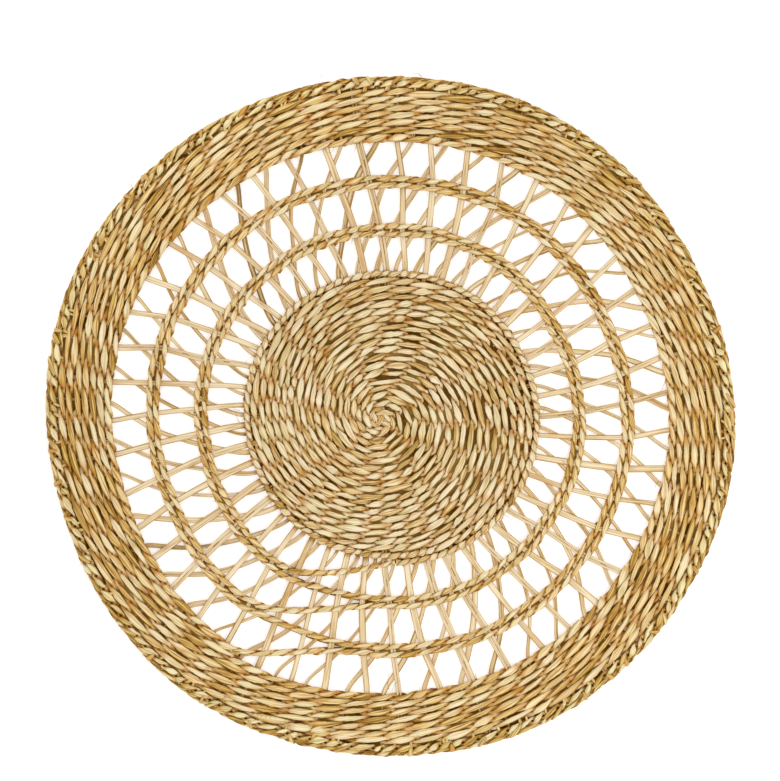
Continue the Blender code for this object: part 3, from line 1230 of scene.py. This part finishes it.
@dataclass
class PlaitedRim(StrawWork):
    """The rim: two rows that twist against each other, with folded strip ends."""

    seed: int = 21
    inner_row: float = 0.1858
    outer_row: float = 0.1886
    row_ripple: float = 0.00030
    ripples: tuple[int, int] = (9, 4)
    route_samples: int = 1440
    height: float = 0.0030
    inner_stitches: int = 150
    outer_stitches: int = 128
    ends: int = 76
    end_stray: float = 0.10
    overlap: float = radians(2.0)
    seam_fold: Fold = Fold(0.1838, 0.0018, 0.0009, 180.0, 0.0, 0.0017, 0.1, 0.0010)
    seam_stray: float = 0.0022
    rim_fold: Fold = Fold(0.1873, 0.0028, 0.0026, 130.0, -60.0, 0.0025, 0.25, 0.0042)
    rim_fold_share: float = 0.55
    rim_places: Range = (0.2, 0.8)
    most_seam_folds: int = 2
    fold_reaches: Range = (0.88, 1.04)
    fold_rises: Range = (0.84, 1.02)
    fold_leans: Range = (-0.6, 1.3)
    fold_widths: Range = (0.7, 1.2)
    fold_waist: float = 0.50
    fold_belly: float = 0.55
    amber_stray: float = 0.3
    most_amber: float = 0.85
    # Painted shade where a fold dips under the rim.
    tuck_start: float = 0.25
    most_tuck: float = 0.75
    fold_tone: float = 0.66
    fold_tone_stray: float = 0.12
    fold_thickness: float = 0.00042
    fold_cup: float = 0.00022
    samples: int = 15
    inner_sizes: StitchSizes = StitchSizes(
        half_width=0.00178,
        half_thickness=0.00075,
        lean=0.00125,
        rise=0.00160,
        height=0.0030,
        waist=0.46,
        tilt=0.5,
        width_spread=0.26,
        rise_spread=0.16,
        length_spread=0.34,
        full_length=0.0060,
        straightness=0.6,
    )
    outer_sizes: StitchSizes = replace(
        inner_sizes, half_width=0.00125, lean=0.00075, rise=0.00095, height=0.0026
    )
    inner_tones: StitchTones = StitchTones(
        1.08, 0.82, splice_stitches=(2, 6), stitch_spread=0.20, amber_share=0.50
    )
    outer_tones: StitchTones = StitchTones(
        0.72, 0.48, splice_stitches=(2, 5), stitch_spread=0.20, amber_share=0.70
    )

    def lay_fold(self, angle: float, fold: Fold) -> None:
        """Lay one strip end folded over the rim.

        Args:
            angle: Where it crosses the rim.
            fold: The kind of fold.
        """
        rng = self.rng
        around = np.radians(np.linspace(fold.start_degrees, fold.end_degrees, self.samples))
        reach = fold.reach * rng.uniform(*self.fold_reaches)
        rise = fold.rise * rng.uniform(*self.fold_rises)
        radius = fold.centre_radius + reach * np.cos(around)
        lean = rng.uniform(*self.fold_leans) * fold.lean / fold.centre_radius
        line = angle - lean * np.cos(around)
        centre = raised(self.plan.place(line, radius), self.height + rise * np.sin(around))
        out = raised(np.stack([np.cos(line), np.sin(line)], axis=1), 0.0)
        facing = out * np.cos(around)[:, None] + UP * np.sin(around)[:, None]
        across, normal = faced(centre, facing)
        belly = np.sin(pi * np.linspace(0.05, 0.95, self.samples))
        taper = self.fold_waist + self.fold_belly * belly
        self.lay(
            centre=centre,
            across=across,
            normal=normal,
            half_width=fold.width / 2 * taper * rng.uniform(*self.fold_widths),
            half_thickness=self.fold_thickness,
            cup=self.fold_cup,
            tone=rng.normal(self.fold_tone, self.fold_tone_stray),
            amber=float(np.clip(rng.normal(fold.amber, self.amber_stray), 0, self.most_amber)),
            # Painted shade on the part of the fold that dips under the rim.
            tuck=np.clip(self.tuck_start - np.sin(around), 0, self.most_tuck),
            grain_start=float(rng.uniform(*GRAIN_STARTS)),
        )

    def build(self) -> None:
        """Lay both rows and every folded end."""
        rng = self.rng
        many, few = self.ripples
        angle = np.linspace(tau + self.overlap, -self.overlap, self.route_samples)
        ripple = self.row_ripple * np.sin(many * angle) * np.sin(few * angle)
        for seed, centre_radius, stitches, sizes, tones in (
            (22, self.inner_row, self.inner_stitches, self.inner_sizes, self.inner_tones),
            (23, self.outer_row, self.outer_stitches, self.outer_sizes, self.outer_tones),
        ):
            route = Route(angle, centre_radius + ripple, (tau - angle) / 2 * stitches)
            TwinedRows(self.plan, self.mesh, seed, sizes, tones).build(route)
        step = tau / self.ends
        for end in range(self.ends):
            pit = -end * step + rng.normal(0, self.end_stray) * step
            for _ in range(int(rng.integers(0, self.most_seam_folds + 1))):
                place = pit + rng.normal(0, self.seam_stray) / self.inner_row
                self.lay_fold(place, self.seam_fold)
            if rng.random() < self.rim_fold_share:
                self.lay_fold(pit + rng.uniform(*self.rim_places) * step, self.rim_fold)


@dataclass
class StrayFibres(StrawWork):
    """Thin loose fibres that have sprung from the weave."""

    seed: int = 77
    count: int = 90
    steps: int = 9
    half_width: float = 0.00013
    widths: Range = (0.7, 1.6)
    tip_width: float = 0.35
    flatness: float = 0.8
    bend: float = 0.16
    curl: float = 0.12
    colours: Range = (0.0, 0.5)
    lengths: Range = (0.004, 0.011)
    rim_reach: float = 0.18
    rim_share: float = 0.5
    seen_length: float = 0.006
    heights: Range = (0.0022, 0.0042)
    slopes: Range = (-0.0012, 0.0014)
    lowest_highest: Range = (0.0008, 0.0056)
    homes: tuple[float, ...] = (0.0830, 0.1055, 0.1320, 0.1545, 0.1885)
    home_shares: tuple[float, ...] = (0.30, 0.15, 0.15, 0.22, 0.18)
    home_stray: float = 0.0008
    seen: tuple[tuple[float, float, float], ...] = (
        (-0.0420, 0.1862, 55.0),
        (-0.0385, 0.1865, 75.0),
        (0.0180, 0.1876, 115.0),
        (0.0290, 0.1880, 155.0),
        (-0.0195, 0.1535, -100.0),
        (-0.0320, 0.1500, -30.0),
        (-0.0190, 0.1520, -75.0),
    )

    def build(self) -> None:
        """Lay the loose fibres."""
        rng = self.rng
        for fibre in range(self.count):
            radius = rng.choice(self.homes, p=self.home_shares) + rng.normal(0, self.home_stray)
            start = self.plan.place(rng.uniform(0, tau), radius)
            heading = rng.uniform(0, tau)
            length = rng.uniform(*self.lengths) * (self.rim_share if radius > self.rim_reach else 1.0)
            if fibre < len(self.seen):
                *start, degrees = self.seen[fibre]
                heading, length = radians(degrees), self.seen_length
            turns = rng.normal(0, self.bend, self.steps) + rng.normal(0, self.curl)
            way = heading + np.cumsum(turns)
            run = np.cumsum(np.stack([np.cos(way), np.sin(way)], axis=1), axis=0)
            flat = np.array(start) + run * length / (self.steps - 1)
            height = rng.uniform(*self.heights)
            height = height + np.linspace(0, rng.uniform(*self.slopes), self.steps)
            centre = raised(flat, np.clip(height, *self.lowest_highest))
            across, normal = faced(centre, UP)
            taper = np.linspace(1.0, self.tip_width, self.steps) * self.half_width
            taper = taper * rng.uniform(*self.widths)
            self.lay(
                centre=centre,
                across=across,
                normal=normal,
                half_width=taper,
                half_thickness=taper * self.flatness,
                tone=rng.uniform(*self.colours),
                amber=rng.uniform(*self.colours),
            )


@dataclass(frozen=True)
class Lamp:
    """One soft lamp, turned towards the mat's middle."""

    name: str
    place: tuple[float, float, float]
    size: float
    power: float


@dataclass(frozen=True)
class Studio:
    """Pale floor, soft light and the camera straight above the mat."""

    metres_per_pixel: float = 0.0005535
    frame_pixels: tuple[int, int] = (780, 781)
    mat_centre_pixel: tuple[float, float] = (390.0, 416.4)
    distance: float = 1.60
    mat_top: float = 0.004
    floor_size: float = 9.0
    floor_white: float = 0.93
    floor_glow: float = 0.35
    room_glow: float = 0.88
    lamps: tuple[Lamp, ...] = (
        Lamp("key_light", (-0.60, 0.80, 0.95), size=0.5, power=44.0),
        Lamp("fill_light", (0.8, -0.5, 1.2), size=1.2, power=10.0),
    )

    def build_camera(self) -> None:
        """Hang the camera over the mat, as the photograph was taken."""
        scale, (width, height) = self.metres_per_pixel, self.frame_pixels
        lens = bpy.data.cameras.new("above_the_mat")
        lens.sensor_fit = "HORIZONTAL"
        lens.sensor_width = 36.0
        lens.lens = lens.sensor_width * self.distance / (scale * width)
        camera = linked("above_the_mat", lens)
        across, down = self.mat_centre_pixel
        right, up = (width / 2 - across) * scale, (down - height / 2) * scale
        camera.location = (right, up, self.distance + self.mat_top)
        bpy.context.scene.camera = camera

    def build_light(self) -> None:
        """Light the mat with a broad soft key, a fill and a bright room."""
        for lamp in self.lamps:
            data = bpy.data.lights.new(lamp.name, "AREA")
            data.size = lamp.size
            data.energy = lamp.power
            hung = linked(lamp.name, data)
            hung.location = lamp.place
            x, y, z = lamp.place
            pitch = math.acos(z / math.hypot(x, y, z))
            hung.rotation_euler = (0.0, -pitch, math.atan2(-y, -x) + pi)
        world = bpy.data.worlds.new("bright_room")
        world.use_nodes = True
        room = world.node_tree.nodes["Background"].inputs
        room["Color"].default_value = (1.0, 1.0, 1.0, 1.0)
        room["Strength"].default_value = self.room_glow
        bpy.context.scene.world = world

    def build_floor(self) -> bpy.types.Object:
        """Lay the pale floor.

        Returns:
            The floor.
        """
        half = self.floor_size / 2
        mesh = bpy.data.meshes.new("pale_floor")
        corners = [(x * half, y * half, 0.0) for x, y in ((-1, -1), (1, -1), (1, 1), (-1, 1))]
        mesh.from_pydata(corners, [], [(0, 1, 2, 3)])
        made = bpy.data.materials.new("pale_floor")
        made.use_nodes = True
        look = {
            "Base Color": (*[self.floor_white] * 3, 1.0),
            "Roughness": 0.9,
            "Specular IOR Level": 0.1,
            "Emission Color": (1.0, 1.0, 1.0, 1.0),
            "Emission Strength": self.floor_glow,
        }
        NodeBoard(made.node_tree).give(made.node_tree.nodes["Principled BSDF"], look)
        mesh.materials.append(made)
        return linked("pale_floor", mesh)


@dataclass(frozen=True)
class Placemat:
    """The whole mat: its pieces, what they ride on and what they stand for."""

    plan: MatPlan = MatPlan()
    disc_tones: StitchTones = StitchTones(1.00, 0.84, splice_spread=0.17, amber_share=0.50)
    disc_sizes: StitchSizes = StitchSizes(
        half_width=0.00174,
        lean=0.00104,
        rise=0.00125,
        taper=0.80,
        cup=0.00045,
        length_spread=0.17,
    )
    ring_tones: StitchTones = StitchTones(1.02, 0.74, splice_spread=0.16)
    ring_sizes: StitchSizes = StitchSizes(
        half_width=0.00150,
        lean=0.00086,
        rise=0.00110,
        width_spread=0.18,
        length_spread=0.12,
        second_width=1.12,
        first_lift=0.00040,
    )
    band_tones: StitchTones = StitchTones(0.92, 0.70)
    band_sizes: StitchSizes = StitchSizes(
        half_width=0.00184,
        half_thickness=0.00066,
        lean=0.00112,
        rise=0.00145,
        height=0.0025,
        taper=0.80,
        cup=0.00050,
    )

    def build(self) -> list[tuple[bpy.types.Object, str, str]]:
        """Build every piece.

        Returns:
            Each piece with the solid that it stands for and its material slot.
        """
        plan = self.plan
        groups = ShaderGroup.fibres(), ShaderGroup.sun_mottle()
        kinds = (WEFT_STRAW, OUTER_STRAW, WARP_STRAW, BORDER_STRAW, SHADOWED_STRAW)
        weft, outer, warp, border, packed = (kind.material(*groups) for kind in kinds)
        route = WeftRoute(plan)
        disc_route, ring_route = route.disc(), route.rings()
        landing = float(ring_route.angle[-1]) + route.landing_overlap
        landing_phase = float(np.interp(-landing, -ring_route.angle, ring_route.phase))
        band_route = route.band(landing, landing_phase)
        sheet, disc, rings, band, rim, loose = (StrawMesh() for _ in range(6))
        WarpSheet(plan, sheet).build()
        TwinedRows(plan, disc, 31, self.disc_sizes, self.disc_tones).build(disc_route)
        StartKnot(plan, disc).build()
        TwinedRows(plan, rings, 41, self.ring_sizes, self.ring_tones).build(ring_route)
        RingShadeStrip(plan, rings).build(ring_route)
        TwinedRows(plan, band, 51, self.band_sizes, self.band_tones).build(band_route)
        PlaitedRim(plan, rim).build()
        StrayFibres(plan, loose).build()
        return [
            (sheet.to_object("straw_warp", warp, packed), *MAT),
            (disc.to_object("disc_twining", weft, packed), *MAT),
            (rings.to_object("ring_twining", outer, packed), *MAT),
            (band.to_object("band_twining", outer, packed), *MAT),
            (rim.to_object("rim_plait", border), *BORDER),
            (loose.to_object("stray_fibres", warp), *MAT),
        ]


def main() -> None:
    """Build the studio and the mat, and report each piece."""
    logging.basicConfig(level=logging.INFO, format="%(name)s: %(message)s")
    bpy.context.scene.view_settings.view_transform = "Standard"
    studio = Studio()
    studio.build_camera()
    studio.build_light()
    floor = studio.build_floor()
    mat = Placemat()
    pieces = mat.build()
    for piece, node, slot in pieces:
        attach(piece, ROOT_BODY)
        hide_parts(node)
        triangles = 2 * len(piece.data.polygons)
        LOG.info("%s: %d triangles, stands for %s", piece.name, triangles, node)
    sheet = WarpSheet(mat.plan, StrawMesh())


if __name__ == "__main__":
    main()
